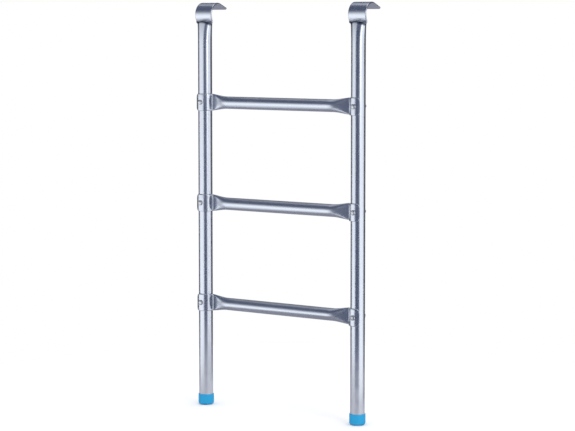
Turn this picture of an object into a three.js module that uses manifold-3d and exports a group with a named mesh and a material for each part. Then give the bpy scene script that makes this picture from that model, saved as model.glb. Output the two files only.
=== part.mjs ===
// Hook-on ladder of galvanised round tube, in millimetres, +Z up.
//
// Two tube rails end in flat hooks that hang over a round rim. Three tube rungs have their ends
// pressed flat and wrapped round the front of the rails, where one bolt holds each joint. The
// rungs run along X, the rails along Z, and the hooks point to +Y, away from the climber. The
// origin is on the ground, in the middle of the ladder's width and depth.

import * as THREE from "three";
import { mergeVertices } from "three/addons/utils/BufferGeometryUtils.js";
import Module from "manifold-3d";

const wasm = await Module();
wasm.setup();

// ---------------------------------------------------------------- driving dimensions

const TOTAL_HEIGHT = 920;
const RAIL_SPACING = 415; // between the rails' axes
const FIRST_RUNG_HEIGHT = 237;
const RUNG_PITCH = 229;
const WALL = 1.5; // both tubes
const GAP = 0.3; // air between touching pieces

const RAIL_RADIUS = 16;
const HOOK_STRAP_WIDTH = 46;
const HOOK_STRAP_THICKNESS = 4;
const HOOK_STRAP_OFFSET = -5.5; // the upright strap's middle, ahead of the rail's axis
const HOOK_BEND_RADIUS = 27; // outside of the bend
const HOOK_LEAN = THREE.MathUtils.degToRad(33); // how far the strap leans forward at its foot
const HOOK_BEND_ANGLE = THREE.MathUtils.degToRad(112); // from straight up, over and down
const HOOK_TIP_LENGTH = 27; // straight part after the bend
const HOOK_TIP_CORNER = 4;
const FLARE_START = 815; // where the round rail begins to widen
const FLARE_HALF_WIDTH = 18.6; // the widened tube just below the pressed shoulder
const FLARE_HALF_DEPTH = 13.2;
const SHOULDER_TOP = 882; // top of the arched shoulder, on the middle of the rail
const SHOULDER_DROP = 7; // how much lower the arch is at the sides
const SHOULDER_HEIGHT = 5;

const RUNG_RADIUS = 14;
const RUNG_OFFSET = -2; // the rungs' axes, ahead of the rails' axes
const RUNG_TAPER_START = 74; // from the rail's axis, where the round rung begins to flatten
const RUNG_HEIGHT_GROWS_FROM = 64; // from the rail's axis, where it begins to grow taller
const RUNG_HEIGHT_GROWS_TO = 10;
const RUNG_STRAP_HEIGHT = 39;
const RUNG_STRAP_OFFSET = 1; // the flat end's middle at the rail, behind the rail's axis
const RUNG_STRAP_THICKNESS = 3.2;
const RUNG_STRAP_CORNER = 8;
const WRAP_FILLET_RADIUS = 3; // inner corner where the strap turns to the front
const WRAP_END_ANGLE = THREE.MathUtils.degToRad(134); // round the rail from its inner side

const BOLT_RADIUS = 3;
const BOLT_HOLE_RADIUS = 3.3;
const BOLT_HEAD_RADIUS = 5.75;
const BOLT_HEAD_HEIGHT = 3.3;
const BOLT_END = 29.5; // thread end, behind the rail's axis
const WASHER_RADIUS = 8.5;
const WASHER_BACK = 18; // flat back of the saddle washer, behind the rail's axis
const WASHER_DEPTH = 5;
const NUT_ACROSS_FLATS = 10;
const NUT_HEIGHT = 5;
const NUT_CHAMFER = 0.7;

const CAP_RADIUS = 17.8;
const CAP_HEIGHT = 24;
const CAP_FLOOR = 2.5;
const CAP_EDGE_RADIUS = 4.5;
const CAP_LIP_RADIUS = 0.6;

const TUBE_SEGMENTS = 20; // round each tube's outside
const BORE_SEGMENTS = 12; // round each tube's inside
const SMALL_SEGMENTS = 12; // round a bolt

// ---------------------------------------------------------------- values that follow

const RUNG_LEVELS = ["bottom", "middle", "top"];
const SIDES = { left: -1, right: 1 };
const STRAP_MIDDLE_RADIUS = RAIL_RADIUS + GAP + RUNG_STRAP_THICKNESS / 2;
const HEAD_SEAT = RAIL_RADIUS + GAP + RUNG_STRAP_THICKNESS + GAP; // ahead of the rail's axis
const FRONT_REACH = HEAD_SEAT + BOLT_HEAD_HEIGHT;
const BEND_MIDDLE_RADIUS = HOOK_BEND_RADIUS - HOOK_STRAP_THICKNESS / 2;
const BEND_CENTRE_Y = HOOK_STRAP_OFFSET + BEND_MIDDLE_RADIUS;
const BEND_CENTRE_Z = TOTAL_HEIGHT - HOOK_BEND_RADIUS;
// The first ring square to the strap is 1 mm above the shoulder, this far before upright.
const HOOK_START = Math.asin((BEND_CENTRE_Z - SHOULDER_TOP - 1) / BEND_MIDDLE_RADIUS);
const OVERHANG = HOOK_BEND_ANGLE - Math.PI / 2; // how far the tip slopes down
const TIP_REACH = BEND_CENTRE_Y + BEND_MIDDLE_RADIUS * Math.sin(OVERHANG)
  + HOOK_TIP_LENGTH * Math.cos(OVERHANG) + (HOOK_STRAP_THICKNESS / 2) * Math.sin(OVERHANG);
const RAIL_AXIS_Y = (FRONT_REACH - TIP_REACH) / 2; // puts the origin midway through the depth

const galvanised = new THREE.MeshStandardMaterial({ color: 0xb9bfcc, metalness: 1, roughness: 0.25 });
const zincPlated = new THREE.MeshStandardMaterial({ color: 0xc6cad2, metalness: 1, roughness: 0.3 });
const bluePlastic = new THREE.MeshStandardMaterial({ color: 0x22a3de, metalness: 0, roughness: 0.35 });

const lerp = THREE.MathUtils.lerp;
const smoothstep = THREE.MathUtils.smoothstep;

// ---------------------------------------------------------------- mesh helpers

// A closed surface from rings of points with the same count, capped at both ends.
// `inner`, when given, is a second run of rings that hollows the body out from its first ring.
// With `openBoth`, the hollow also comes out at the far end.
function loftedBody(outer, inner = null, openBoth = false) {
  const positions = [];
  const indices = [];
  const addRings = (rings) => rings.map((ring) => ring.map((point) => {
    positions.push(point.x, point.y, point.z);
    return positions.length / 3 - 1;
  }));
  const addWall = (rings, flip) => {
    for (let r = 0; r + 1 < rings.length; r += 1) {
      const count = rings[r].length;
      for (let i = 0; i < count; i += 1) {
        const a = rings[r][i];
        const b = rings[r][(i + 1) % count];
        const c = rings[r + 1][(i + 1) % count];
        const d = rings[r + 1][i];
        indices.push(...(flip ? [a, c, b, a, d, c] : [a, b, c, a, c, d]));
      }
    }
  };
  const addCap = (outline, holes, flip) => {
    const all = [...outline, ...holes.flat()];
    const point = (index) => new THREE.Vector3().fromArray(positions, 3 * index);
    const origin = point(outline[0]);
    const across = point(outline[Math.floor(outline.length / 4)]);
    const over = point(outline[Math.floor(outline.length / 2)]);
    const u = over.clone().sub(origin).normalize();
    const normal = u.clone().cross(across.clone().sub(origin)).normalize();
    const v = normal.clone().cross(u);
    const flat = (index) => {
      const offset = point(index).sub(origin);
      return new THREE.Vector2(offset.dot(u), offset.dot(v));
    };
    const outlineFlat = outline.map(flat);
    const turns = THREE.ShapeUtils.area(outlineFlat) > 0;
    const faces = THREE.ShapeUtils.triangulateShape(outlineFlat, holes.map((hole) => hole.map(flat)));
    for (const face of faces) {
      const [a, b, c] = face.map((k) => all[k]);
      indices.push(...(turns !== flip ? [a, b, c] : [a, c, b]));
    }
  };
  const outerRings = addRings(outer);
  addWall(outerRings, false);
  if (inner === null) {
    addCap(outerRings[0], [], true);
    addCap(outerRings[outerRings.length - 1], [], false);
  } else {
    const innerRings = addRings(inner);
    addWall(innerRings, true);
    addCap(outerRings[0], [innerRings[0]], true);
    const last = innerRings[innerRings.length - 1];
    if (openBoth) {
      addCap(outerRings[outerRings.length - 1], [last], false);
    } else {
      addCap(outerRings[outerRings.length - 1], [], false);
      addCap(last, [], true);
    }
  }
  const geometry = new THREE.BufferGeometry();
  geometry.setAttribute("position", new THREE.Float32BufferAttribute(positions, 3));
  geometry.setIndex(indices);
  return geometry;
}

function toSolid(geometry) {
  const bare = geometry.clone();
  bare.deleteAttribute("normal");
  bare.deleteAttribute("uv");
  const merged = mergeVertices(bare, 1e-4);
  return new wasm.Manifold(new wasm.Mesh({
    numProp: 3,
    vertProperties: new Float32Array(merged.attributes.position.array),
    triVerts: new Uint32Array(merged.index.array),
  }));
}

function toGeometry(solid) {
  const mesh = solid.getMesh();
  const geometry = new THREE.BufferGeometry();
  geometry.setAttribute("position", new THREE.BufferAttribute(mesh.vertProperties, 3));
  geometry.setIndex(new THREE.BufferAttribute(mesh.triVerts, 1));
  return geometry;
}

// Cuts a list of tool geometries out of a geometry.
function cut(geometry, tools) {
  return toGeometry(tools.reduce((solid, tool) => solid.subtract(toSolid(tool)), toSolid(geometry)));
}

// A round rod along Y, from one depth to another.
function rodAlongY(radius, fromY, toY, x, z, segments = SMALL_SEGMENTS) {
  const rod = new THREE.CylinderGeometry(radius, radius, toY - fromY, segments);
  rod.translate(x, (fromY + toY) / 2, z);
  return rod;
}

// A point of a tube's cross-section at `angle`, where the tube is flattened to `halfWidth` by
// `halfDepth`. `flatness` goes from 0, an ellipse, to 1, a strap with true flat faces.
function sectionPoint(angle, halfWidth, halfDepth, flatness) {
  const flatFrom = Math.PI / 3;
  const cosine = Math.cos(angle);
  const sine = Math.sin(angle);
  const quarter = Math.atan2(Math.abs(sine), Math.abs(cosine));
  const corner = Math.min(1, quarter / flatFrom) * (Math.PI / 2);
  const across = quarter <= flatFrom ? 1 : (Math.PI / 2 - quarter) / (Math.PI / 2 - flatFrom);
  const strapX = Math.sign(cosine) * ((halfWidth - halfDepth) * across + halfDepth * Math.cos(corner));
  const strapY = Math.sign(sine) * halfDepth * Math.sin(corner);
  return new THREE.Vector2(
    lerp(halfWidth * cosine, Math.abs(cosine) < 1e-9 ? 0 : strapX, flatness),
    lerp(halfDepth * sine, Math.abs(sine) < 1e-9 ? 0 : strapY, flatness),
  );
}

// How much of its full half width a strap keeps near its rounded end, `left` before the end.
function endTrim(left, cornerRadius) {
  const into = Math.max(0, cornerRadius - left);
  return cornerRadius - Math.sqrt(Math.max(0, cornerRadius * cornerRadius - into * into));
}

function ringAngles(segments) {
  return Array.from({ length: segments }, (_, i) => (2 * Math.PI * i) / segments);
}

// ---------------------------------------------------------------- rail

// The middle of the strap at height z, below the bend's centre, behind the rail's axis.
function strapMiddle(z) {
  const below = Math.min(BEND_CENTRE_Z - z, BEND_MIDDLE_RADIUS * Math.sin(HOOK_LEAN));
  return BEND_CENTRE_Y - Math.sqrt(BEND_MIDDLE_RADIUS ** 2 - below ** 2);
}

// The rail's shape at height z on its straight part, seen from above.
function railSection(angle, z, inset) {
  const flareEnd = SHOULDER_TOP - SHOULDER_HEIGHT;
  const flare = THREE.MathUtils.clamp((z - FLARE_START) / (flareEnd - FLARE_START), 0, 1) ** 3;
  const halfWidth = lerp(RAIL_RADIUS, FLARE_HALF_WIDTH, flare);
  const halfDepth = lerp(RAIL_RADIUS, FLARE_HALF_DEPTH, flare);
  const round = sectionPoint(angle, halfWidth - inset, halfDepth - inset, 0);
  const strap = sectionPoint(angle, HOOK_STRAP_WIDTH / 2 - inset,
    Math.max(HOOK_STRAP_THICKNESS / 2 - inset, WALL / 4), 1);
  const side = round.x / FLARE_HALF_WIDTH;
  const shoulderTop = SHOULDER_TOP - SHOULDER_DROP * side * side;
  const pressed = smoothstep(z, shoulderTop - SHOULDER_HEIGHT, shoulderTop);
  return new THREE.Vector3(
    lerp(round.x, strap.x, pressed),
    lerp(round.y, strapMiddle(z) + strap.y, pressed),
    z,
  );
}

// One ring of the hook: `turn` round the bend, from 0 where the strap is upright, then `beyond`
// along the straight tip.
function hookRing(turn, beyond) {
  const alongY = Math.sin(turn);
  const alongZ = Math.cos(turn);
  const centreY = BEND_CENTRE_Y - BEND_MIDDLE_RADIUS * Math.cos(turn) + beyond * alongY;
  const centreZ = BEND_CENTRE_Z + BEND_MIDDLE_RADIUS * Math.sin(turn) + beyond * alongZ;
  const trim = endTrim(HOOK_TIP_LENGTH - beyond, HOOK_TIP_CORNER);
  return ringAngles(TUBE_SEGMENTS).map((angle) => {
    const point = sectionPoint(angle, HOOK_STRAP_WIDTH / 2 - trim, HOOK_STRAP_THICKNESS / 2, 1);
    return new THREE.Vector3(point.x, centreY + point.y * alongZ, centreZ - point.y * alongY);
  });
}

function railGeometry() {
  const bottom = CAP_FLOOR + GAP;
  const boreEnd = SHOULDER_TOP - SHOULDER_HEIGHT - SHOULDER_DROP;
  const flareHeights = Array.from({ length: 5 }, (_, i) => lerp(FLARE_START, boreEnd, i / 4));
  const shoulderSteps = 5;
  const shoulderHeights = Array.from({ length: shoulderSteps }, (_, i) => (
    lerp(boreEnd, SHOULDER_TOP, (i + 1) / shoulderSteps)));
  const straightHeights = [bottom, ...flareHeights, ...shoulderHeights];
  const outer = straightHeights.map((z) => (
    ringAngles(TUBE_SEGMENTS).map((angle) => railSection(angle, z, 0))));
  const quarterSteps = 7;
  const overhangSteps = 2;
  for (let i = 0; i <= quarterSteps; i += 1) {
    outer.push(hookRing(lerp(-HOOK_START, Math.PI / 2, i / quarterSteps), 0));
  }
  for (let i = 1; i <= overhangSteps; i += 1) {
    outer.push(hookRing(Math.PI / 2 + (OVERHANG * i) / overhangSteps, 0));
  }
  for (const left of [HOOK_TIP_CORNER, HOOK_TIP_CORNER / 2, HOOK_TIP_CORNER / 8, 0]) {
    outer.push(hookRing(HOOK_BEND_ANGLE, HOOK_TIP_LENGTH - left));
  }
  const inner = [bottom, ...flareHeights].map((z) => (
    ringAngles(BORE_SEGMENTS).map((angle) => railSection(angle, z, WALL))));
  return loftedBody(outer, inner);
}

// ---------------------------------------------------------------- rung

// The middle line of a rung's end, in a plane seen from above. The rail's axis is the origin, u
// points along the rung and away from the rail, and v points to the back. The line starts at the
// strap's end on the far side of the rail, wraps round the rail's front, turns through the inner
// fillet and runs straight out along the rung. It gives the position and the direction to the
// back or inner side of the strap.
function wrapLine() {
  const filletMiddle = WRAP_FILLET_RADIUS + RUNG_STRAP_THICKNESS / 2;
  const filletV = RUNG_STRAP_OFFSET - filletMiddle;
  const reach = STRAP_MIDDLE_RADIUS + filletMiddle;
  const filletU = Math.sqrt(reach * reach - filletV * filletV);
  const joinAngle = Math.atan2(-filletV, filletU); // round the rail from its inner side
  const stations = [];
  const wrapSteps = 7;
  for (let i = 0; i <= wrapSteps; i += 1) {
    const angle = lerp(WRAP_END_ANGLE, joinAngle, i / wrapSteps);
    stations.push({
      u: STRAP_MIDDLE_RADIUS * Math.cos(angle),
      v: -STRAP_MIDDLE_RADIUS * Math.sin(angle),
      backU: -Math.cos(angle),
      backV: Math.sin(angle),
      fromEnd: STRAP_MIDDLE_RADIUS * (WRAP_END_ANGLE - angle),
    });
  }
  const filletSteps = 3;
  for (let i = 1; i <= filletSteps; i += 1) {
    const turned = lerp(joinAngle, Math.PI / 2, i / filletSteps);
    stations.push({
      u: filletU - filletMiddle * Math.cos(turned),
      v: filletV + filletMiddle * Math.sin(turned),
      backU: -Math.cos(turned),
      backV: Math.sin(turned),
      fromEnd: RUNG_STRAP_CORNER,
    });
  }
  return stations;
}

// One ring of a rung's end on the right-hand side, in the rail's own place.
function wrapRing(station, halfHeight, halfThickness, flatness, segments) {
  return ringAngles(segments).map((angle) => {
    const point = sectionPoint(angle, halfHeight, halfThickness, flatness);
    return new THREE.Vector3(
      -(station.u + point.y * station.backU),
      station.v + point.y * station.backV,
      point.x,
    );
  });
}

// Half the height of the rung's end at u from the rail's axis.
function rungHalfHeight(u) {
  const round = smoothstep(u, RUNG_HEIGHT_GROWS_TO, RUNG_HEIGHT_GROWS_FROM);
  return lerp(RUNG_STRAP_HEIGHT / 2, RUNG_RADIUS, round);
}

// Every ring of the right half of a rung, from the wrapped end to the round tube, for the outer
// surface (inset 0) or the inner one (inset of the wall).
function rungEndRings(inset, segments) {
  const rings = [];
  const stations = wrapLine();
  const last = stations[stations.length - 1];
  for (const station of stations) {
    const trim = endTrim(station.fromEnd, RUNG_STRAP_CORNER);
    rings.push(wrapRing(station, rungHalfHeight(station.u) - inset - trim,
      Math.max(RUNG_STRAP_THICKNESS / 2 - inset, WALL / 4), 1, segments));
  }
  const taperSteps = 6;
  for (let i = 1; i <= taperSteps; i += 1) {
    const along = i / taperSteps;
    const u = lerp(last.u, RUNG_TAPER_START, along);
    const round = 1.25 * along - 0.25 * along ** 5; // an even slope that eases into the tube
    const halfThickness = lerp(RUNG_STRAP_THICKNESS / 2, RUNG_RADIUS, round);
    const v = lerp(RUNG_STRAP_OFFSET, RUNG_OFFSET, round);
    const station = { u, v, backU: 0, backV: 1 };
    rings.push(wrapRing(station, rungHalfHeight(u) - inset, halfThickness - inset, 1 - round, segments));
  }
  return rings;
}

function rungGeometry() {
  const half = RAIL_SPACING / 2;
  const bothEnds = (inset, segments) => {
    const right = rungEndRings(inset, segments).map((ring) => (
      ring.map((point) => new THREE.Vector3(point.x + half, point.y, point.z))));
    const left = right.map((ring) => (
      ring.map((point) => new THREE.Vector3(-point.x, point.y, point.z)))).reverse();
    return [...right, ...left];
  };
  const body = loftedBody(bothEnds(0, TUBE_SEGMENTS), bothEnds(WALL, BORE_SEGMENTS), true);
  const holes = [-half, half].map((x) => rodAlongY(BOLT_HOLE_RADIUS, -2 * RAIL_RADIUS, 0, x, 0));
  return cut(body, holes);
}

// ---------------------------------------------------------------- cap, bolt, washer, nut

function capGeometry() {
  const innerRadius = RAIL_RADIUS + GAP;
  const profile = new THREE.Path();
  profile.moveTo(0, 0);
  profile.lineTo(CAP_RADIUS - CAP_EDGE_RADIUS, 0);
  profile.absarc(CAP_RADIUS - CAP_EDGE_RADIUS, CAP_EDGE_RADIUS, CAP_EDGE_RADIUS, -Math.PI / 2, 0);
  profile.lineTo(CAP_RADIUS, CAP_HEIGHT - CAP_LIP_RADIUS);
  profile.lineTo(CAP_RADIUS - CAP_LIP_RADIUS, CAP_HEIGHT);
  profile.lineTo(innerRadius, CAP_HEIGHT);
  profile.lineTo(innerRadius, CAP_FLOOR);
  profile.lineTo(0, CAP_FLOOR);
  const cap = new THREE.LatheGeometry(profile.getPoints(2), TUBE_SEGMENTS);
  cap.rotateX(Math.PI / 2);
  return cap;
}

// Head at the front, thread at the back, along Y.
function boltGeometry() {
  const profile = new THREE.Path();
  profile.moveTo(0, -BOLT_END);
  profile.lineTo(BOLT_RADIUS - BOLT_RADIUS / 5, -BOLT_END);
  profile.lineTo(BOLT_RADIUS, -BOLT_END + BOLT_RADIUS / 5);
  profile.lineTo(BOLT_RADIUS, HEAD_SEAT);
  profile.lineTo(BOLT_HEAD_RADIUS, HEAD_SEAT);
  profile.lineTo(BOLT_HEAD_RADIUS, HEAD_SEAT + BOLT_HEAD_HEIGHT / 4);
  profile.quadraticCurveTo(BOLT_HEAD_RADIUS * 0.8, FRONT_REACH, 0, FRONT_REACH);
  const bolt = new THREE.LatheGeometry(profile.getPoints(3), SMALL_SEGMENTS);
  bolt.rotateX(Math.PI);
  return bolt;
}

function washerGeometry() {
  const disc = rodAlongY(WASHER_RADIUS, WASHER_BACK - WASHER_DEPTH, WASHER_BACK, 0, 0, TUBE_SEGMENTS);
  const tube = new THREE.CylinderGeometry(RAIL_RADIUS + GAP, RAIL_RADIUS + GAP, 3 * WASHER_RADIUS,
    2 * SMALL_SEGMENTS);
  tube.rotateX(Math.PI / 2);
  return cut(disc, [tube, rodAlongY(BOLT_HOLE_RADIUS, 0, 2 * WASHER_BACK, 0, 0)]);
}

function nutGeometry() {
  const start = WASHER_BACK + GAP;
  const cornerRadius = NUT_ACROSS_FLATS / Math.sqrt(3);
  const hexagon = new THREE.Shape();
  for (let i = 0; i < 6; i += 1) {
    const angle = (i * Math.PI) / 3;
    hexagon[i === 0 ? "moveTo" : "lineTo"](cornerRadius * Math.cos(angle), cornerRadius * Math.sin(angle));
  }
  hexagon.closePath();
  const nut = new THREE.ExtrudeGeometry(hexagon, {
    depth: NUT_HEIGHT - 2 * NUT_CHAMFER,
    bevelEnabled: true,
    bevelThickness: NUT_CHAMFER,
    bevelSize: NUT_CHAMFER,
    bevelOffset: -NUT_CHAMFER,
    bevelSegments: 1,
  });
  nut.translate(0, 0, NUT_CHAMFER);
  nut.rotateX(-Math.PI / 2);
  nut.translate(0, start, 0);
  return cut(nut, [rodAlongY(BOLT_HOLE_RADIUS, start - 1, start + NUT_HEIGHT + 1, 0, 0)]);
}

// ---------------------------------------------------------------- assembly

const ladder = new THREE.Group();
ladder.position.y = RAIL_AXIS_Y;

function place(name, geometry, material, x = 0, z = 0) {
  const mesh = new THREE.Mesh(geometry, material);
  mesh.name = name;
  mesh.position.set(x, 0, z);
  ladder.add(mesh);
}

const rungHeights = RUNG_LEVELS.map((_, i) => FIRST_RUNG_HEIGHT + RUNG_PITCH * i);
const railHoles = rungHeights.map((z) => (
  rodAlongY(BOLT_HOLE_RADIUS, -2 * RAIL_RADIUS, 2 * RAIL_RADIUS, 0, z)));
const rail = cut(railGeometry(), railHoles);
const rung = rungGeometry();
const cap = capGeometry();
const bolt = boltGeometry();
const washer = washerGeometry();
const nut = nutGeometry();

for (const [side, sign] of Object.entries(SIDES)) {
  const x = (sign * RAIL_SPACING) / 2;
  place(`${side}_rail`, rail, galvanised, x);
  place(`${side}_foot_cap`, cap, bluePlastic, x);
}
RUNG_LEVELS.forEach((level, i) => {
  const z = rungHeights[i];
  place(`${level}_rung`, rung, galvanised, 0, z);
  for (const [side, sign] of Object.entries(SIDES)) {
    const x = (sign * RAIL_SPACING) / 2;
    place(`${level}_${side}_bolt`, bolt, zincPlated, x, z);
    place(`${level}_${side}_washer`, washer, zincPlated, x, z);
    place(`${level}_${side}_nut`, nut, zincPlated, x, z);
  }
});

export default ladder;
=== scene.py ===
import math

import bmesh
import bpy
from mathutils import Matrix, Vector


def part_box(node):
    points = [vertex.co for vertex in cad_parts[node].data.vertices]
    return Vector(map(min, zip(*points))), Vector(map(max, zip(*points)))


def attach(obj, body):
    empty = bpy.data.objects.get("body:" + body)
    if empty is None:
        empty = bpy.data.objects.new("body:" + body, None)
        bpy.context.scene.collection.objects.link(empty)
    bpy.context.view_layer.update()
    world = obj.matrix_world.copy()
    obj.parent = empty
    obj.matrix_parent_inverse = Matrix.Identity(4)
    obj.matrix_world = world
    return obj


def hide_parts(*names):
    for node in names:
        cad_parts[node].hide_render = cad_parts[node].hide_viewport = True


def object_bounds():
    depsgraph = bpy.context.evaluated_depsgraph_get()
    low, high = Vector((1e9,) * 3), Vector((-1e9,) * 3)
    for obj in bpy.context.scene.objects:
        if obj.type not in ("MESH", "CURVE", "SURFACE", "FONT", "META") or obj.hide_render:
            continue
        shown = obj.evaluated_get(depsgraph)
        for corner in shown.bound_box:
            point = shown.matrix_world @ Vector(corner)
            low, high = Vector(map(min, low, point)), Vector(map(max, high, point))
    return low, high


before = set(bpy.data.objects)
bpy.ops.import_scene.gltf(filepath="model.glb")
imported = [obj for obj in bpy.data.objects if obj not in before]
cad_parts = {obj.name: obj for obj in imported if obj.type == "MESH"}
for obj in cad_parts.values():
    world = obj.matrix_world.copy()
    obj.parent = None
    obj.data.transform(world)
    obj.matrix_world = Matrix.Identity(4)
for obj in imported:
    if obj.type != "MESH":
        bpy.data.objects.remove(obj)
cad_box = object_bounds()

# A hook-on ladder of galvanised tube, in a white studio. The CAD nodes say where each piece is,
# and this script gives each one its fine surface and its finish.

# ---------------------------------------------------------------- dimensions, in metres

MM = 0.001
WALL = 1.5 * MM
GAP = 0.3 * MM

RAIL_RADIUS = 16 * MM
STRAP_WIDTH = 46 * MM
STRAP_THICKNESS = 4 * MM
STRAP_OFFSET = -5.5 * MM
STRAP_LEAN = math.radians(33)
BEND_RADIUS = 27 * MM
BEND_ANGLE = math.radians(112)
TIP_LENGTH = 27 * MM
TIP_CORNER = 4 * MM
FLARE_START = 815 * MM
FLARE_HALF_WIDTH = 18.6 * MM
FLARE_HALF_DEPTH = 13.2 * MM
SHOULDER_TOP = 882 * MM
SHOULDER_DROP = 7 * MM
SHOULDER_HEIGHT = 5 * MM

RUNG_RADIUS = 14 * MM
RUNG_OFFSET = -2 * MM
RUNG_TAPER_START = 74 * MM
RUNG_HEIGHT_GROWS = (10 * MM, 64 * MM)
RUNG_STRAP_HEIGHT = 39 * MM
RUNG_STRAP_OFFSET = 1 * MM
RUNG_STRAP_THICKNESS = 3.2 * MM
RUNG_STRAP_CORNER = 8 * MM
RUNG_SLIT = 0.3 * MM
WRAP_FILLET_RADIUS = 3 * MM
WRAP_END_ANGLE = math.radians(134)

BOLT_RADIUS = 3 * MM
BOLT_HOLE_RADIUS = 3.3 * MM
BOLT_HEAD_RADIUS = 5.75 * MM
BOLT_HEAD_HEIGHT = 3.3 * MM
BOLT_END = 29.5 * MM
THREAD_PITCH = 1 * MM
THREAD_DEPTH = 0.5 * MM
WASHER_RADIUS = 8.5 * MM
WASHER_BACK = 18 * MM
NUT_ACROSS_FLATS = 10 * MM
NUT_HEIGHT = 5 * MM
NUT_BORE_RADIUS = 3.05 * MM

CAP_RADIUS = 17.8 * MM
CAP_HEIGHT = 24 * MM
CAP_FLOOR = 2.5 * MM
CAP_EDGE_RADIUS = 4.5 * MM
CAP_LIP_RADIUS = 0.6 * MM

TUBE_SEGMENTS = 72
SMALL_SEGMENTS = 36

# ---------------------------------------------------------------- places, from the frame

LEVELS = ("bottom", "middle", "top")
SIDES = {"left": -1, "right": 1}


def box_centre(node):
    low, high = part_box(node)
    return (low + high) / 2


AXIS_Y = box_centre("left_foot_cap").y
TOTAL_HEIGHT = cad_box[1].z
RAIL_X = {side: box_centre(f"{side}_foot_cap").x for side in SIDES}
RUNG_Z = {level: box_centre(f"{level}_left_bolt").z for level in LEVELS}

STRAP_MIDDLE_RADIUS = RAIL_RADIUS + GAP + RUNG_STRAP_THICKNESS / 2
HEAD_SEAT = RAIL_RADIUS + GAP + RUNG_STRAP_THICKNESS + GAP
FRONT_REACH = HEAD_SEAT + BOLT_HEAD_HEIGHT
BEND_MIDDLE_RADIUS = BEND_RADIUS - STRAP_THICKNESS / 2
BEND_CENTRE_Y = STRAP_OFFSET + BEND_MIDDLE_RADIUS
BEND_CENTRE_Z = TOTAL_HEIGHT - BEND_RADIUS
STRAP_START = math.asin((BEND_CENTRE_Z - SHOULDER_TOP - 1 * MM) / BEND_MIDDLE_RADIUS)

# ---------------------------------------------------------------- small mathematics


def lerp(a, b, t):
    return a + (b - a) * t


def smoothstep(x, low, high):
    t = min(1.0, max(0.0, (x - low) / (high - low)))
    return t * t * (3 - 2 * t)


def steps(start, end, count):
    """count + 1 evenly spaced values from start to end."""
    return [lerp(start, end, i / count) for i in range(count + 1)]


def ring_angles(segments):
    return [2 * math.pi * i / segments for i in range(segments)]


def strap_point(angle, half_width, half_depth):
    """A point of a flat strap with round edges."""
    flat_from = math.pi / 3
    quarter = math.atan2(abs(math.sin(angle)), abs(math.cos(angle)))
    corner = min(1.0, quarter / flat_from) * math.pi / 2
    across = 1.0 if quarter <= flat_from else (math.pi / 2 - quarter) / (math.pi / 2 - flat_from)
    x = (half_width - half_depth) * across + half_depth * math.cos(corner)
    return math.copysign(x, math.cos(angle)), math.copysign(half_depth * math.sin(corner), math.sin(angle))


def section_point(angle, half_width, half_depth, flatness):
    """A point of a tube's section as it goes from an ellipse (0) to a flat strap (1)."""
    strap_x, strap_y = strap_point(angle, half_width, half_depth)
    x = lerp(half_width * math.cos(angle), strap_x, flatness)
    y = lerp(half_depth * math.sin(angle), strap_y, flatness)
    return x, y


def end_trim(left, corner_radius):
    """How much a strap with a rounded end has narrowed, this much before the end."""
    into = max(0.0, corner_radius - left)
    return corner_radius - math.sqrt(max(0.0, corner_radius**2 - into**2))


# ---------------------------------------------------------------- mesh helpers


def link_mesh(name, vertices, faces, sharp_angle=math.radians(38)):
    mesh = bpy.data.meshes.new(name)
    mesh.from_pydata([tuple(v) for v in vertices], [], faces)
    build = bmesh.new()
    build.from_mesh(mesh)
    bmesh.ops.recalc_face_normals(build, faces=build.faces)
    build.to_mesh(mesh)
    build.free()
    mesh.shade_smooth()
    mesh.set_sharp_from_angle(angle=sharp_angle)
    piece = bpy.data.objects.new(name, mesh)
    bpy.context.scene.collection.objects.link(piece)
    return piece


def wall_faces(first_ring, ring_count, segments):
    faces = []
    for r in range(ring_count - 1):
        a, b = first_ring + r * segments, first_ring + (r + 1) * segments
        for i in range(segments):
            j = (i + 1) % segments
            faces.append((a + i, a + j, b + j, b + i))
    return faces


def tube_mesh(name, outer, inner, open_both):
    """A hollow body: outer rings and inner rings, joined at the first ring, and at the last ring too
    when open_both is true."""
    segments = len(outer[0])
    vertices = [point for ring in outer + inner for point in ring]
    inner_start = len(outer) * segments
    faces = wall_faces(0, len(outer), segments)
    faces += wall_faces(inner_start, len(inner), segments)
    last_outer = (len(outer) - 1) * segments
    last_inner = inner_start + (len(inner) - 1) * segments
    joins = [(0, inner_start)] + ([(last_outer, last_inner)] if open_both else [])
    for a, b in joins:
        for i in range(segments):
            j = (i + 1) % segments
            faces.append((a + i, a + j, b + j, b + i))
    if not open_both:
        faces.append(tuple(last_outer + i for i in range(segments)))
        faces.append(tuple(last_inner + i for i in range(segments)))
    return link_mesh(name, vertices, faces)


def loop_mesh(name, rings):
    """A ring-shaped body whose last ring joins back to its first."""
    segments = len(rings[0])
    vertices = [point for ring in rings for point in ring]
    faces = wall_faces(0, len(rings), segments)
    last = (len(rings) - 1) * segments
    for i in range(segments):
        j = (i + 1) % segments
        faces.append((last + i, last + j, j, i))
    return link_mesh(name, vertices, faces)


def capped_mesh(name, rings):
    """A solid body of rings with a flat face at each end."""
    segments = len(rings[0])
    vertices = [point for ring in rings for point in ring]
    faces = wall_faces(0, len(rings), segments)
    last = (len(rings) - 1) * segments
    faces.append(tuple(range(segments)))
    faces.append(tuple(last + i for i in range(segments)))
    return link_mesh(name, vertices, faces)


def circle_along_y(radius, y, segments=SMALL_SEGMENTS):
    return [Vector((radius * math.cos(a), y, radius * math.sin(a))) for a in ring_angles(segments)]


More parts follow.
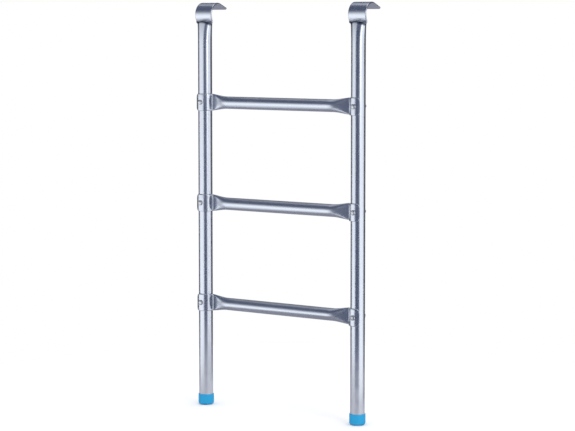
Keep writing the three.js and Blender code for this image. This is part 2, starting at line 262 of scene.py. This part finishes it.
def cut_holes(piece, radius, from_y, to_y, places):
    """Drills round holes along Y through the piece at each (x, z)."""
    cutter = bmesh.new()
    for x, z in places:
        drilled = bmesh.ops.create_cone(
            cutter, cap_ends=True, segments=SMALL_SEGMENTS, radius1=radius, radius2=radius,
            depth=to_y - from_y)
        turn = Matrix.Translation((x, (from_y + to_y) / 2, z)) @ Matrix.Rotation(math.pi / 2, 4, "X")
        bmesh.ops.transform(cutter, matrix=turn, verts=drilled["verts"])
    mesh = bpy.data.meshes.new("drill")
    cutter.to_mesh(mesh)
    cutter.free()
    drill = bpy.data.objects.new("drill", mesh)
    bpy.context.scene.collection.objects.link(drill)
    modifier = piece.modifiers.new("holes", "BOOLEAN")
    modifier.object = drill
    modifier.solver = "EXACT"
    bpy.context.view_layer.update()
    evaluated = piece.evaluated_get(bpy.context.evaluated_depsgraph_get())
    drilled_mesh = bpy.data.meshes.new_from_object(evaluated)
    piece.modifiers.clear()
    piece.data = drilled_mesh
    bpy.data.objects.remove(drill)


# ---------------------------------------------------------------- rail


def strap_middle(z):
    """How far the strap's middle is behind the rail's axis at height z, below the bend's centre."""
    below = min(BEND_CENTRE_Z - z, BEND_MIDDLE_RADIUS * math.sin(STRAP_LEAN))
    return BEND_CENTRE_Y - math.sqrt(BEND_MIDDLE_RADIUS**2 - below**2)


def rail_point(angle, z, inset):
    """The rail's surface at height z on its straight part, with the rail's axis as the origin."""
    flare_end = SHOULDER_TOP - SHOULDER_HEIGHT
    flare = min(1.0, max(0.0, (z - FLARE_START) / (flare_end - FLARE_START))) ** 3
    half_width = lerp(RAIL_RADIUS, FLARE_HALF_WIDTH, flare) - inset
    half_depth = lerp(RAIL_RADIUS, FLARE_HALF_DEPTH, flare) - inset
    round_x, round_y = section_point(angle, half_width, half_depth, 0)
    thickness = max(STRAP_THICKNESS / 2 - inset, WALL / 4)
    flat_x, flat_y = section_point(angle, STRAP_WIDTH / 2 - inset, thickness, 1)
    side = round_x / FLARE_HALF_WIDTH
    shoulder_top = SHOULDER_TOP - SHOULDER_DROP * side * side
    pressed = smoothstep(z, shoulder_top - SHOULDER_HEIGHT, shoulder_top)
    x = lerp(round_x, flat_x, pressed)
    y = lerp(round_y, strap_middle(z) + flat_y, pressed)
    return Vector((x, y, z))


def hook_ring(turn, beyond):
    """A ring of the hook: turn round the bend, from 0 where the strap is upright, then beyond it
    along the straight tip."""
    along_y, along_z = math.sin(turn), math.cos(turn)
    centre_y = BEND_CENTRE_Y - BEND_MIDDLE_RADIUS * along_z + beyond * along_y
    centre_z = BEND_CENTRE_Z + BEND_MIDDLE_RADIUS * along_y + beyond * along_z
    half_width = STRAP_WIDTH / 2 - end_trim(TIP_LENGTH - beyond, TIP_CORNER)
    ring = []
    for angle in ring_angles(TUBE_SEGMENTS):
        x, y = section_point(angle, half_width, STRAP_THICKNESS / 2, 1)
        ring.append(Vector((x, centre_y + y * along_z, centre_z - y * along_y)))
    return ring


def rail_heights():
    """Heights of the rings on the straight part, close together where holes or curves are."""
    heights = {CAP_FLOOR + GAP, CAP_HEIGHT}
    for z in RUNG_Z.values():
        heights.update(z + d * MM for d in (-60, -24, -8, -6, -4, -2, 0, 2, 4, 6, 8, 24, 60))
    heights.update(steps(FLARE_START, SHOULDER_TOP - SHOULDER_HEIGHT - SHOULDER_DROP, 14))
    return sorted(heights)


def make_rail(side):
    straight = rail_heights()
    shoulder = steps(straight[-1], SHOULDER_TOP, 22)[1:]
    turns = steps(-STRAP_START, BEND_ANGLE, 44)
    left_over = [TIP_CORNER * (1 - math.sin(a)) for a in steps(0, math.pi / 2, 8)]
    outer = [[rail_point(a, z, 0) for a in ring_angles(TUBE_SEGMENTS)] for z in straight + shoulder]
    outer += [hook_ring(turn, 0) for turn in turns]
    outer += [hook_ring(BEND_ANGLE, TIP_LENGTH - left) for left in left_over]
    inner = [[rail_point(a, z, WALL) for a in ring_angles(TUBE_SEGMENTS)] for z in straight]
    piece = tube_mesh(f"{side}_rail_tube", outer, inner, open_both=False)
    cut_holes(piece, BOLT_HOLE_RADIUS, -2 * RAIL_RADIUS, 2 * RAIL_RADIUS,
              [(0, z) for z in RUNG_Z.values()])
    piece.data.transform(Matrix.Translation((RAIL_X[side], AXIS_Y, 0)))
    return piece


# ---------------------------------------------------------------- rung


def wrap_stations():
    """The middle line of a rung's flattened end, seen from above with the rail's axis as the
    origin: u along the rung away from the rail, v to the back. Each station is its place, the
    direction to the strap's inner side, and how far it is from the strap's end."""
    fillet = WRAP_FILLET_RADIUS + RUNG_STRAP_THICKNESS / 2
    fillet_v = RUNG_STRAP_OFFSET - fillet
    fillet_u = math.sqrt((STRAP_MIDDLE_RADIUS + fillet) ** 2 - fillet_v**2)
    join = math.atan2(-fillet_v, fillet_u)
    corner_steps = [RUNG_STRAP_CORNER * (1 - math.cos(a)) for a in steps(0, math.pi / 2, 8)]
    corner_angles = [WRAP_END_ANGLE - d / STRAP_MIDDLE_RADIUS for d in corner_steps]
    angles = corner_angles + steps(corner_angles[-1], join, 26)[1:]
    stations = []
    for angle in angles:
        place = (STRAP_MIDDLE_RADIUS * math.cos(angle), -STRAP_MIDDLE_RADIUS * math.sin(angle))
        stations.append((place, (-math.cos(angle), math.sin(angle)),
                         STRAP_MIDDLE_RADIUS * (WRAP_END_ANGLE - angle)))
    for turned in steps(join, math.pi / 2, 10)[1:]:
        place = (fillet_u - fillet * math.cos(turned), fillet_v + fillet * math.sin(turned))
        stations.append((place, (-math.cos(turned), math.sin(turned)), RUNG_STRAP_CORNER))
    return stations


def wrap_ring(place, back, half_height, half_thickness, flatness):
    ring = []
    for angle in ring_angles(TUBE_SEGMENTS):
        x, y = section_point(angle, half_height, half_thickness, flatness)
        ring.append(Vector((-(place[0] + y * back[0]), place[1] + y * back[1], x)))
    return ring


def rung_half_height(u):
    return lerp(RUNG_STRAP_HEIGHT / 2, RUNG_RADIUS, smoothstep(u, *RUNG_HEIGHT_GROWS))


def rung_end_rings(hollow):
    """Rings of the right half of a rung, from its wrapped end to where it is fully round."""
    rings = []
    inset = WALL if hollow else 0
    flat_half = RUNG_SLIT / 2 if hollow else RUNG_STRAP_THICKNESS / 2
    stations = wrap_stations()
    for place, back, from_end in stations:
        half_height = rung_half_height(place[0]) - inset - end_trim(from_end, RUNG_STRAP_CORNER)
        rings.append(wrap_ring(place, back, half_height, flat_half, 1))
    last_u = stations[-1][0][0]
    for along in steps(0, 1, 30)[1:]:
        u = lerp(last_u, RUNG_TAPER_START, along)
        tube = 1.25 * along - 0.25 * along**5
        half_thickness = lerp(flat_half, RUNG_RADIUS - inset, tube)
        place = (u, lerp(RUNG_STRAP_OFFSET, RUNG_OFFSET, tube))
        half_height = rung_half_height(u) - inset
        rings.append(wrap_ring(place, (0, 1), half_height, half_thickness, 1 - tube))
    return rings


def make_rung(level):
    half = RAIL_X["right"]

    def both_ends(hollow):
        right = [[point + Vector((half, 0, 0)) for point in ring] for ring in rung_end_rings(hollow)]
        left = [[Vector((-p.x, p.y, p.z)) for p in ring] for ring in reversed(right)]
        return right + left

    piece = tube_mesh(f"{level}_rung_tube", both_ends(False), both_ends(True), open_both=True)
    cut_holes(piece, BOLT_HOLE_RADIUS, -2 * RAIL_RADIUS, 0, [(x, 0) for x in RAIL_X.values()])
    piece.data.transform(Matrix.Translation((0, AXIS_Y, RUNG_Z[level])))
    return piece


# ---------------------------------------------------------------- cap, bolt, washer, nut


def make_cap(side):
    """A moulded cup: flat base, round lower edge, straight wall and a soft lip at the tube."""
    edge_centre = CAP_RADIUS - CAP_EDGE_RADIUS
    bore = RAIL_RADIUS + GAP / 6
    profile = [(edge_centre + CAP_EDGE_RADIUS * math.sin(a), CAP_EDGE_RADIUS * (1 - math.cos(a)))
               for a in steps(0, math.pi / 2, 12)]
    profile += [(CAP_RADIUS, z) for z in steps(CAP_EDGE_RADIUS, CAP_HEIGHT - CAP_LIP_RADIUS, 6)[1:]]
    profile += [(CAP_RADIUS - CAP_LIP_RADIUS * (1 - math.cos(a)),
                 CAP_HEIGHT - CAP_LIP_RADIUS * (1 - math.sin(a)))
                for a in steps(0, math.pi / 2, 6)[1:]]
    profile += [(bore, CAP_HEIGHT), (bore, CAP_FLOOR)]
    rings = [[Vector((r * math.cos(a), r * math.sin(a), z)) for a in ring_angles(TUBE_SEGMENTS)]
             for r, z in profile]
    piece = capped_mesh(f"{side}_foot_cup", rings)
    piece.data.transform(Matrix.Translation((RAIL_X[side], AXIS_Y, 0)))
    return piece


def thread_ring(y, segments=SMALL_SEGMENTS):
    """One ring of a screw thread at depth y: a triangular wave that winds round the bolt."""
    ring = []
    run_out = smoothstep(BOLT_END - y, 0, THREAD_PITCH)
    for angle in ring_angles(segments):
        phase = (y / THREAD_PITCH - angle / (2 * math.pi)) % 1
        depth = THREAD_DEPTH * abs(2 * phase - 1)
        radius = lerp(BOLT_RADIUS - 1.4 * THREAD_DEPTH, BOLT_RADIUS - depth, run_out)
        ring.append(Vector((radius * math.cos(angle), y, radius * math.sin(angle))))
    return ring


def make_bolt(name):
    """A domed head at the front, a plain shank, and a thread behind the rail."""
    rings = []
    dome_height = 0.75 * BOLT_HEAD_HEIGHT
    for a in steps(0.04, math.pi / 2, 12):
        depth = dome_height - FRONT_REACH - dome_height * math.cos(a)
        rings.append(circle_along_y(BOLT_HEAD_RADIUS * math.sin(a), depth))
    rings.append(circle_along_y(BOLT_HEAD_RADIUS, -HEAD_SEAT - 0.2 * MM))
    rings.append(circle_along_y(BOLT_HEAD_RADIUS - 0.2 * MM, -HEAD_SEAT))
    rings.append(circle_along_y(BOLT_RADIUS, -HEAD_SEAT))
    rings.append(circle_along_y(BOLT_RADIUS, WASHER_BACK - 2 * THREAD_PITCH))
    thread_start = WASHER_BACK - THREAD_PITCH
    count = round((BOLT_END - thread_start) / (THREAD_PITCH / 8))
    rings += [thread_ring(y) for y in steps(thread_start, BOLT_END, count)]
    return capped_mesh(name, rings)


def make_washer(name):
    """A round washer whose front is hollowed to sit on the back of the rail."""
    saddle = RAIL_RADIUS + GAP / 6
    bore = BOLT_RADIUS + GAP / 2

    def front(radius):
        ring = []
        for angle in ring_angles(SMALL_SEGMENTS * 2):
            x, z = radius * math.cos(angle), radius * math.sin(angle)
            ring.append(Vector((x, math.sqrt(saddle**2 - x * x), z)))
        return ring

    rings = [front(r) for r in steps(bore, WASHER_RADIUS, 8)]
    rings += [circle_along_y(WASHER_RADIUS, WASHER_BACK - 0.5 * MM, SMALL_SEGMENTS * 2),
              circle_along_y(WASHER_RADIUS - 0.5 * MM, WASHER_BACK, SMALL_SEGMENTS * 2),
              circle_along_y(bore, WASHER_BACK, SMALL_SEGMENTS * 2)]
    return loop_mesh(name, rings)


def make_nut(name):
    """A hexagon whose corners are rounded off by a cone at each face."""
    start, end = WASHER_BACK + GAP, WASHER_BACK + GAP + NUT_HEIGHT
    per_side = 10
    segments = 6 * per_side
    face_radius = 0.47 * NUT_ACROSS_FLATS
    cone_slope = math.tan(math.radians(30))
    bore_chamfer = 0.5 * MM

    def hex_radius(angle):
        from_flat = (angle % (math.pi / 3)) - math.pi / 6
        return NUT_ACROSS_FLATS / 2 / math.cos(from_flat)

    def hex_ring(face, inward):
        ring = []
        for angle in ring_angles(segments):
            radius = hex_radius(angle)
            y = face + inward * (radius - face_radius) * cone_slope
            ring.append(Vector((radius * math.cos(angle), y, radius * math.sin(angle))))
        return ring

    rings = [
        circle_along_y(NUT_BORE_RADIUS, start + bore_chamfer, segments),
        circle_along_y(NUT_BORE_RADIUS + bore_chamfer, start, segments),
        circle_along_y(face_radius, start, segments),
        hex_ring(start, 1),
        hex_ring(end, -1),
        circle_along_y(face_radius, end, segments),
        circle_along_y(NUT_BORE_RADIUS + bore_chamfer, end, segments),
        circle_along_y(NUT_BORE_RADIUS, end - bore_chamfer, segments),
    ]
    return loop_mesh(name, rings)


# ---------------------------------------------------------------- materials


def add_node(tree, kind, inputs=None, **settings):
    """A shader node with its settings, and its inputs set to values or linked to sockets."""
    node = tree.nodes.new(kind)
    for key, value in settings.items():
        setattr(node, key, value)
    for key, value in (inputs or {}).items():
        if isinstance(value, bpy.types.NodeSocket):
            tree.links.new(value, node.inputs[key])
        else:
            node.inputs[key].default_value = value
    return node


def math_node(tree, operation, a, b=0.0, clamp=False):
    return add_node(tree, "ShaderNodeMath", {0: a, 1: b}, operation=operation, use_clamp=clamp).outputs[0]


def blend_colours(tree, share, a, b):
    node = add_node(tree, "ShaderNodeMix", data_type="RGBA")
    for socket, value in ((node.inputs[0], share), (node.inputs[6], a), (node.inputs[7], b)):
        if isinstance(value, bpy.types.NodeSocket):
            tree.links.new(value, socket)
        else:
            socket.default_value = value
    return node.outputs[2]


def map_range(tree, value, from_low, from_high, to_low, to_high):
    return add_node(tree, "ShaderNodeMapRange", {
        "Value": value, "From Min": from_low, "From Max": from_high,
        "To Min": to_low, "To Max": to_high}).outputs[0]


def noise(tree, coordinates, scale, detail=3.0, stretch=(1, 1, 1)):
    moved = add_node(tree, "ShaderNodeMapping", {"Vector": coordinates, "Scale": stretch})
    return add_node(tree, "ShaderNodeTexNoise", {
        "Vector": moved.outputs[0], "Scale": scale, "Detail": detail}).outputs[0]


def new_material(name):
    material = bpy.data.materials.new(name)
    material.use_nodes = True
    tree = material.node_tree
    shader = tree.nodes["Principled BSDF"]
    coordinates = add_node(tree, "ShaderNodeTexCoord").outputs["Object"]
    return material, tree, shader, coordinates


def add_bumps(tree, shader, layers):
    """Stacks height layers of (height socket, strength, distance in metres) on the normal."""
    normal = None
    for height, strength, distance in layers:
        inputs = {"Height": height, "Strength": strength, "Distance": distance}
        if normal is not None:
            inputs["Normal"] = normal
        normal = add_node(tree, "ShaderNodeBump", inputs).outputs[0]
    tree.links.new(normal, shader.inputs["Normal"])


# Painted shade: a dark arched band painted into the rail's colour just below its pressed shoulder, where
# the step shades the tube.
PAINTED_SHADE_BELOW_SHOULDER = 4.5 * MM
PAINTED_SHADE_HALF_HEIGHT = 5.0 * MM
PAINTED_SHADE_STRENGTH = 0.92
PAINTED_SHADE_COLOUR = (0.09, 0.10, 0.13, 1)


def painted_crease_shade(tree, place):
    """1 along the arched band below a rail's pressed shoulder where shade is painted, fading to 0 beside
    it.
    """
    side = math_node(tree, "SUBTRACT", math_node(tree, "ABSOLUTE", place[0]), RAIL_X["right"])
    side = math_node(tree, "DIVIDE", side, FLARE_HALF_WIDTH)
    drop = math_node(tree, "MULTIPLY", math_node(tree, "MULTIPLY", side, side), SHOULDER_DROP)
    arch = math_node(tree, "SUBTRACT", SHOULDER_TOP - PAINTED_SHADE_BELOW_SHOULDER, drop)
    off_arch = math_node(tree, "ABSOLUTE", math_node(tree, "SUBTRACT", place[2], arch))
    return map_range(tree, off_arch, 0.3 * PAINTED_SHADE_HALF_HEIGHT, PAINTED_SHADE_HALF_HEIGHT, 1.0, 0.0)


# Painted reflection: near the ground the tube is painted paler and made matter and less metallic. This
# stands in for the bright floor's reflection on the lower rails.
FLOOR_REFLECTION_HEIGHTS = (0.02, 0.21)  # metres up: strongest below the first, gone above the second
FLOOR_REFLECTION_SHARE = 0.68


def galvanised_material(name, grain_stretch, worn_top):
    """Bright zinc on drawn tube: faint spangle, fine lines along the tube, duller scuffs, and near the
    ground a painted reflection of the bright floor, paler, matter and less metallic. With worn_top,
    shoes have dulled the upper side of the tube. Without it, the tube is a rail, with shade painted
    dark in an arched band below its pressed shoulder."""
    material, tree, shader, at = new_material(name)
    place = add_node(tree, "ShaderNodeSeparateXYZ", {0: at}).outputs
    spangle = add_node(tree, "ShaderNodeTexVoronoi", {"Vector": at, "Scale": 160.0}).outputs["Color"]
    spangle = add_node(tree, "ShaderNodeSeparateColor", {0: spangle}).outputs[0]
    cloud = noise(tree, at, 14.0, 4.0)
    grain = noise(tree, at, 60.0, 5.0, grain_stretch)
    scuff = map_range(tree, noise(tree, at, 38.0, 6.0, grain_stretch), 0.60, 0.72, 0.0, 1.0)

    tone = blend_colours(tree, cloud, (0.60, 0.64, 0.715, 1), (0.69, 0.72, 0.78, 1))
    tone = blend_colours(tree, math_node(tree, "MULTIPLY", spangle, 0.05), tone, (0.74, 0.78, 0.86, 1))
    tone = blend_colours(tree, math_node(tree, "MULTIPLY", scuff, 0.15), tone, (0.50, 0.52, 0.56, 1))
    # painted reflection of the bright floor: paler, matter and less metallic toward the ground
    painted_floor_reflection = map_range(tree, place[2], *FLOOR_REFLECTION_HEIGHTS, FLOOR_REFLECTION_SHARE, 0.0)
    painted_floor_reflection = math_node(tree, "MULTIPLY", painted_floor_reflection, noise(tree, at, 30.0, 5.0))
    tone = blend_colours(tree, painted_floor_reflection, tone, (0.74, 0.75, 0.82, 1))

    rough = map_range(tree, cloud, 0.3, 0.7, 0.25, 0.30)
    rough = math_node(tree, "ADD", rough, math_node(tree, "MULTIPLY", scuff, 0.06))
    rough = math_node(tree, "ADD", rough, math_node(tree, "MULTIPLY", painted_floor_reflection, 0.22))
    if worn_top:
        facing = add_node(tree, "ShaderNodeNewGeometry").outputs["Normal"]
        up = add_node(tree, "ShaderNodeSeparateXYZ", {0: facing}).outputs[2]
        along = math_node(tree, "ABSOLUTE", place[0])
        trodden = math_node(tree, "MULTIPLY", map_range(tree, up, 0.45, 0.9, 0.0, 1.0),
                            map_range(tree, along, 0.16, 0.08, 0.0, 1.0))
        trodden = math_node(tree, "MULTIPLY", trodden, noise(tree, at, 90.0, 6.0))
        rough = math_node(tree, "ADD", rough, math_node(tree, "MULTIPLY", trodden, 0.28))
        tone = blend_colours(tree, trodden, tone, (0.46, 0.47, 0.49, 1))
    else:
        # painted shade: the rail's colour is darkened along the arch below the pressed shoulder
        painted_shade = math_node(tree, "MULTIPLY", painted_crease_shade(tree, place), PAINTED_SHADE_STRENGTH)
        tone = blend_colours(tree, painted_shade, tone, PAINTED_SHADE_COLOUR)
    tree.links.new(tone, shader.inputs["Base Color"])
    tree.links.new(rough, shader.inputs["Roughness"])
    tree.links.new(math_node(tree, "SUBTRACT", 1.0, painted_floor_reflection), shader.inputs["Metallic"])
    add_bumps(tree, shader, [
        (noise(tree, at, 45.0, 2.0), 0.06, 0.0004),
        (grain, 0.08, 0.00012),
    ])
    return material


def fastener_material():
    """Zinc plating on small turned and pressed parts: finer, a little yellower and more even."""
    material, tree, shader, at = new_material("zinc_plate")
    cloud = noise(tree, at, 220.0, 4.0)
    fine = noise(tree, at, 1500.0, 3.0)
    tone = blend_colours(tree, cloud, (0.60, 0.62, 0.65, 1), (0.76, 0.77, 0.79, 1))
    tree.links.new(tone, shader.inputs["Base Color"])
    tree.links.new(map_range(tree, cloud, 0.3, 0.7, 0.32, 0.48), shader.inputs["Roughness"])
    shader.inputs["Metallic"].default_value = 1.0
    add_bumps(tree, shader, [(fine, 0.15, 0.00003)])
    return material


def plastic_material():
    """Sky-blue moulded plastic, semi-gloss, with a fine skin and paler rubbed marks at its foot."""
    material, tree, shader, at = new_material("blue_moulded_plastic")
    place = add_node(tree, "ShaderNodeSeparateXYZ", {0: at}).outputs
    cloud = noise(tree, at, 60.0, 4.0)
    marks = map_range(tree, noise(tree, at, 300.0, 6.0, (1, 1, 3)), 0.60, 0.70, 0.0, 1.0)
    low = map_range(tree, place[2], 0.009, 0.001, 0.0, 1.0)
    rubbed = math_node(tree, "MULTIPLY", marks, math_node(tree, "ADD", low, 0.08, clamp=True))
    tone = blend_colours(tree, cloud, (0.004, 0.28, 0.55, 1), (0.006, 0.32, 0.60, 1))
    tone = blend_colours(tree, math_node(tree, "MULTIPLY", rubbed, 0.6), tone, (0.25, 0.48, 0.66, 1))
    tree.links.new(tone, shader.inputs["Base Color"])
    rough = map_range(tree, cloud, 0.3, 0.7, 0.28, 0.38)
    rough = math_node(tree, "ADD", rough, math_node(tree, "MULTIPLY", rubbed, 0.3))
    tree.links.new(rough, shader.inputs["Roughness"])
    shader.inputs["IOR"].default_value = 1.5
    add_bumps(tree, shader, [
        (noise(tree, at, 900.0, 2.0), 0.10, 0.00004),
        (noise(tree, at, 80.0, 2.0), 0.08, 0.0004),
    ])
    return material


def floor_material():
    """Matt white paper. Reflections see a soft grey patch of it under the ladder, and beyond that
    the room."""
    material, tree, shader, at = new_material("studio_floor")
    tone = blend_colours(tree, noise(tree, at, 3.0), (0.905, 0.905, 0.91, 1), (0.93, 0.93, 0.93, 1))
    tree.links.new(tone, shader.inputs["Base Color"])
    shader.inputs["Roughness"].default_value = 0.9
    shader.inputs["Specular IOR Level"].default_value = 0.2
    distance = add_node(tree, "ShaderNodeVectorMath", {0: at}, operation="LENGTH").outputs["Value"]
    far = map_range(tree, distance, *FLOOR_PATCH_EDGE, 0.0, 1.0)
    patch = add_node(tree, "ShaderNodeEmission", {"Color": FLOOR_PATCH}).outputs[0]
    clear = add_node(tree, "ShaderNodeBsdfTransparent").outputs[0]
    reflected = add_node(tree, "ShaderNodeMixShader", {0: far, 1: patch, 2: clear}).outputs[0]
    ray = add_node(tree, "ShaderNodeLightPath").outputs
    seen = add_node(tree, "ShaderNodeMixShader", {
        0: ray["Is Glossy Ray"], 1: shader.outputs[0], 2: reflected}).outputs[0]
    tree.links.new(seen, tree.nodes["Material Output"].inputs["Surface"])
    return material


def drape_material():
    material, tree, _, _ = new_material("navy_drape")
    glow = add_node(tree, "ShaderNodeEmission", {"Color": NAVY}).outputs[0]
    tree.links.new(glow, tree.nodes["Material Output"].inputs["Surface"])
    return material


# ---------------------------------------------------------------- studio

CAMERA_AZIMUTH = math.radians(35)
CAMERA_PITCH = math.radians(4.867)
CAMERA_DISTANCE = 4.386
CAMERA_SIDESTEP = 0.0173
CAMERA_HEIGHT = 0.8740
CAMERA_LENS = 123.88
CAMERA_SHIFT = -0.0417
FLOOR_RADIUS = 0.95


def make_camera():
    data = bpy.data.cameras.new("camera")
    data.sensor_width = 36
    data.lens = CAMERA_LENS
    data.shift_y = CAMERA_SHIFT
    data.clip_start = 0.05
    data.clip_end = 50
    camera = bpy.data.objects.new("camera", data)
    away = Vector((math.sin(CAMERA_AZIMUTH), -math.cos(CAMERA_AZIMUTH), 0))
    across = Vector((math.cos(CAMERA_AZIMUTH), math.sin(CAMERA_AZIMUTH), 0))
    camera.location = (Vector((0, AXIS_Y, CAMERA_HEIGHT)) + away * CAMERA_DISTANCE
                       + across * CAMERA_SIDESTEP)
    camera.rotation_euler = (math.pi / 2 - CAMERA_PITCH, 0, CAMERA_AZIMUTH)
    bpy.context.scene.collection.objects.link(camera)
    bpy.context.scene.camera = camera


def make_floor():
    rings = [[Vector((r * math.cos(a), r * math.sin(a), 0)) for a in ring_angles(96)]
             for r in steps(0.02, FLOOR_RADIUS, 12)]
    vertices = [point for ring in rings for point in ring]
    faces = wall_faces(0, len(rings), 96) + [tuple(range(96))]
    floor = link_mesh("floor", vertices, faces)
    floor.data.transform(Matrix.Translation((0, 0, -0.0005)))
    floor.data.materials.append(floor_material())


OPEN_LIGHT = (1.15, 1.16, 1.18, 1)
WHITE = (1.0, 1.0, 1.0, 1)
NAVY = (0.102, 0.122, 0.192, 1)
SOFTBOX = (1.20, 1.21, 1.23, 1)
FLOOR_PATCH = (0.33, 0.33, 0.38, 1)
FLOOR_PATCH_EDGE = (0.40, 0.60)

# The lit walls by height, as (degrees above the horizon, colour).
LIT_WALLS = [
    (-90, (0.45, 0.46, 0.50, 1)), (-58, (0.52, 0.53, 0.57, 1)), (-45, (0.78, 0.80, 0.84, 1)),
    (-30, (1.08, 1.10, 1.14, 1)), (-18, (1.38, 1.40, 1.44, 1)), (-6, (1.30, 1.32, 1.36, 1)),
    (3, (1.02, 1.04, 1.08, 1)), (10.6, (0.63, 0.65, 0.70, 1)), (18, (0.30, 0.32, 0.38, 1)),
    (26, (0.130, 0.145, 0.20, 1)), (34, NAVY), (62, NAVY), (68, SOFTBOX), (90, SOFTBOX)]
# The unlit walls behind.
DARK_WALLS = [
    (-90, (0.34, 0.34, 0.40, 1)), (-30, (0.34, 0.34, 0.40, 1)), (-16, (0.085, 0.09, 0.11, 1)),
    (20, (0.085, 0.09, 0.11, 1)), (34, NAVY), (62, NAVY), (68, SOFTBOX), (90, SOFTBOX)]
REAR_WINDOW = (0.9, 0.92, 0.96, 1)
HIGH_WINDOW = (0.60, 0.62, 0.66, 1)
LIT_AZIMUTHS = (-72, 130)
REAR_WINDOW_AZIMUTHS = (-165, -125)
REAR_WINDOW_TOP = (16, 24)
HIGH_WINDOW_AZIMUTHS = (-130, -98)
HIGH_WINDOW_HEIGHTS = (44, 62)
SOFT_EDGE = 7.0

# Seen from above, the drape that the rails reflect in front of them, from end to end.
DRAPE_ENDS = ((0.0, -1.22), (1.60, -0.93))
DRAPE_HEIGHTS = (-4.0, 5.0)


def colour_ramp(tree, degrees, low, high, stops):
    share = map_range(tree, degrees, low, high, 0.0, 1.0)
    node = add_node(tree, "ShaderNodeValToRGB", {"Fac": share})
    ramp = node.color_ramp
    ramp.elements.remove(ramp.elements[1])
    ramp.elements[0].color = stops[0][1]
    for at, colour in stops[1:]:
        ramp.elements.new((at - low) / (high - low)).color = colour
    return node.outputs[0]


def band(tree, degrees, start, end):
    """1 between start and end, with soft edges, and 0 elsewhere."""
    half = SOFT_EDGE / 2
    rise = map_range(tree, degrees, start - half, start + half, 0.0, 1.0)
    fall = map_range(tree, degrees, end - half, end + half, 1.0, 0.0)
    return math_node(tree, "MULTIPLY", rise, fall)


def make_world():
    """White to the camera, open light to matt surfaces, and for reflections a room by direction.
    Azimuths are in degrees from the ladder's front, positive to the right."""
    world = bpy.data.worlds.new("studio")
    bpy.context.scene.world = world
    world.use_nodes = True
    world.cycles.sampling_method = "NONE"
    tree = world.node_tree
    direction = add_node(tree, "ShaderNodeTexCoord").outputs["Generated"]
    along = add_node(tree, "ShaderNodeSeparateXYZ", {0: direction}).outputs
    azimuth = math_node(tree, "ARCTAN2", along[0], math_node(tree, "MULTIPLY", along[1], -1.0))
    azimuth = math_node(tree, "MULTIPLY", azimuth, math.degrees(1))
    height = math_node(tree, "MULTIPLY", math_node(tree, "ARCSINE", along[2]), math.degrees(1))
    lit = colour_ramp(tree, height, -90, 90, LIT_WALLS)
    dark = colour_ramp(tree, height, -90, 90, DARK_WALLS)
    room = blend_colours(tree, band(tree, azimuth, *LIT_AZIMUTHS), dark, lit)
    rear = math_node(tree, "MULTIPLY", band(tree, azimuth, *REAR_WINDOW_AZIMUTHS),
                     map_range(tree, height, *REAR_WINDOW_TOP, 1.0, 0.0))
    rear = math_node(tree, "MULTIPLY", rear, map_range(tree, height, -24, -16, 0.0, 1.0))
    room = blend_colours(tree, rear, room, REAR_WINDOW)
    high = math_node(tree, "MULTIPLY", band(tree, azimuth, *HIGH_WINDOW_AZIMUTHS),
                     band(tree, height, *HIGH_WINDOW_HEIGHTS))
    room = blend_colours(tree, high, room, HIGH_WINDOW)
    ray = add_node(tree, "ShaderNodeLightPath").outputs
    seen = blend_colours(tree, ray["Is Glossy Ray"], OPEN_LIGHT, room)
    seen = blend_colours(tree, ray["Is Camera Ray"], seen, WHITE)
    tree.links.new(seen, tree.nodes["Background"].inputs["Color"])


def make_drape():
    """A dark drape in front of the ladder, which only reflections see."""
    vertices = [(x, y, z) for x, y in DRAPE_ENDS for z in DRAPE_HEIGHTS]
    drape = link_mesh("drape", vertices, [(0, 1, 3, 2)])
    drape.data.materials.append(drape_material())
    for kind in ("camera", "diffuse", "transmission", "shadow", "volume_scatter"):
        setattr(drape, f"visible_{kind}", False)


PANEL_SIZE = (1.2, 1.6)
PANEL_ENERGY = 25
PANEL_PLACE = (3.0, -1.2, 1.7)
PANEL_TARGET = Vector((0, 0, 0.4))


def make_light():
    """One soft panel, high on the right."""
    data = bpy.data.lights.new("soft_panel", "AREA")
    data.shape = "RECTANGLE"
    data.size, data.size_y = PANEL_SIZE
    data.energy = PANEL_ENERGY
    lamp = bpy.data.objects.new("soft_panel", data)
    lamp.location = PANEL_PLACE
    toward = PANEL_TARGET - lamp.location
    lamp.rotation_euler = toward.to_track_quat("-Z", "Y").to_euler()
    lamp.visible_camera = False
    bpy.context.scene.collection.objects.link(lamp)


# ---------------------------------------------------------------- assembly


def finish_piece(piece, node, material):
    piece.data.materials.clear()
    piece.data.materials.append(material)
    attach(piece, "root")
    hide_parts(node)


def build_ladder():
    rail_metal = galvanised_material("galvanised_upright", (1, 1, 0.04), worn_top=False)
    rung_metal = galvanised_material("galvanised_rung", (0.04, 1, 1), worn_top=True)
    plate = fastener_material()
    plastic = plastic_material()
    for side in SIDES:
        finish_piece(make_rail(side), f"{side}_rail", rail_metal)
        finish_piece(make_cap(side), f"{side}_foot_cap", plastic)
    fasteners = {"bolt": make_bolt, "washer": make_washer, "nut": make_nut}
    for level in LEVELS:
        finish_piece(make_rung(level), f"{level}_rung", rung_metal)
        for side in SIDES:
            for kind, make in fasteners.items():
                node = f"{level}_{side}_{kind}"
                piece = make(f"{node}_m6")
                piece.data.transform(Matrix.Translation((RAIL_X[side], AXIS_Y, RUNG_Z[level])))
                finish_piece(piece, node, plate)


bpy.context.scene.view_settings.view_transform = "Standard"
make_camera()
make_world()
make_light()
make_floor()
make_drape()
build_ladder()
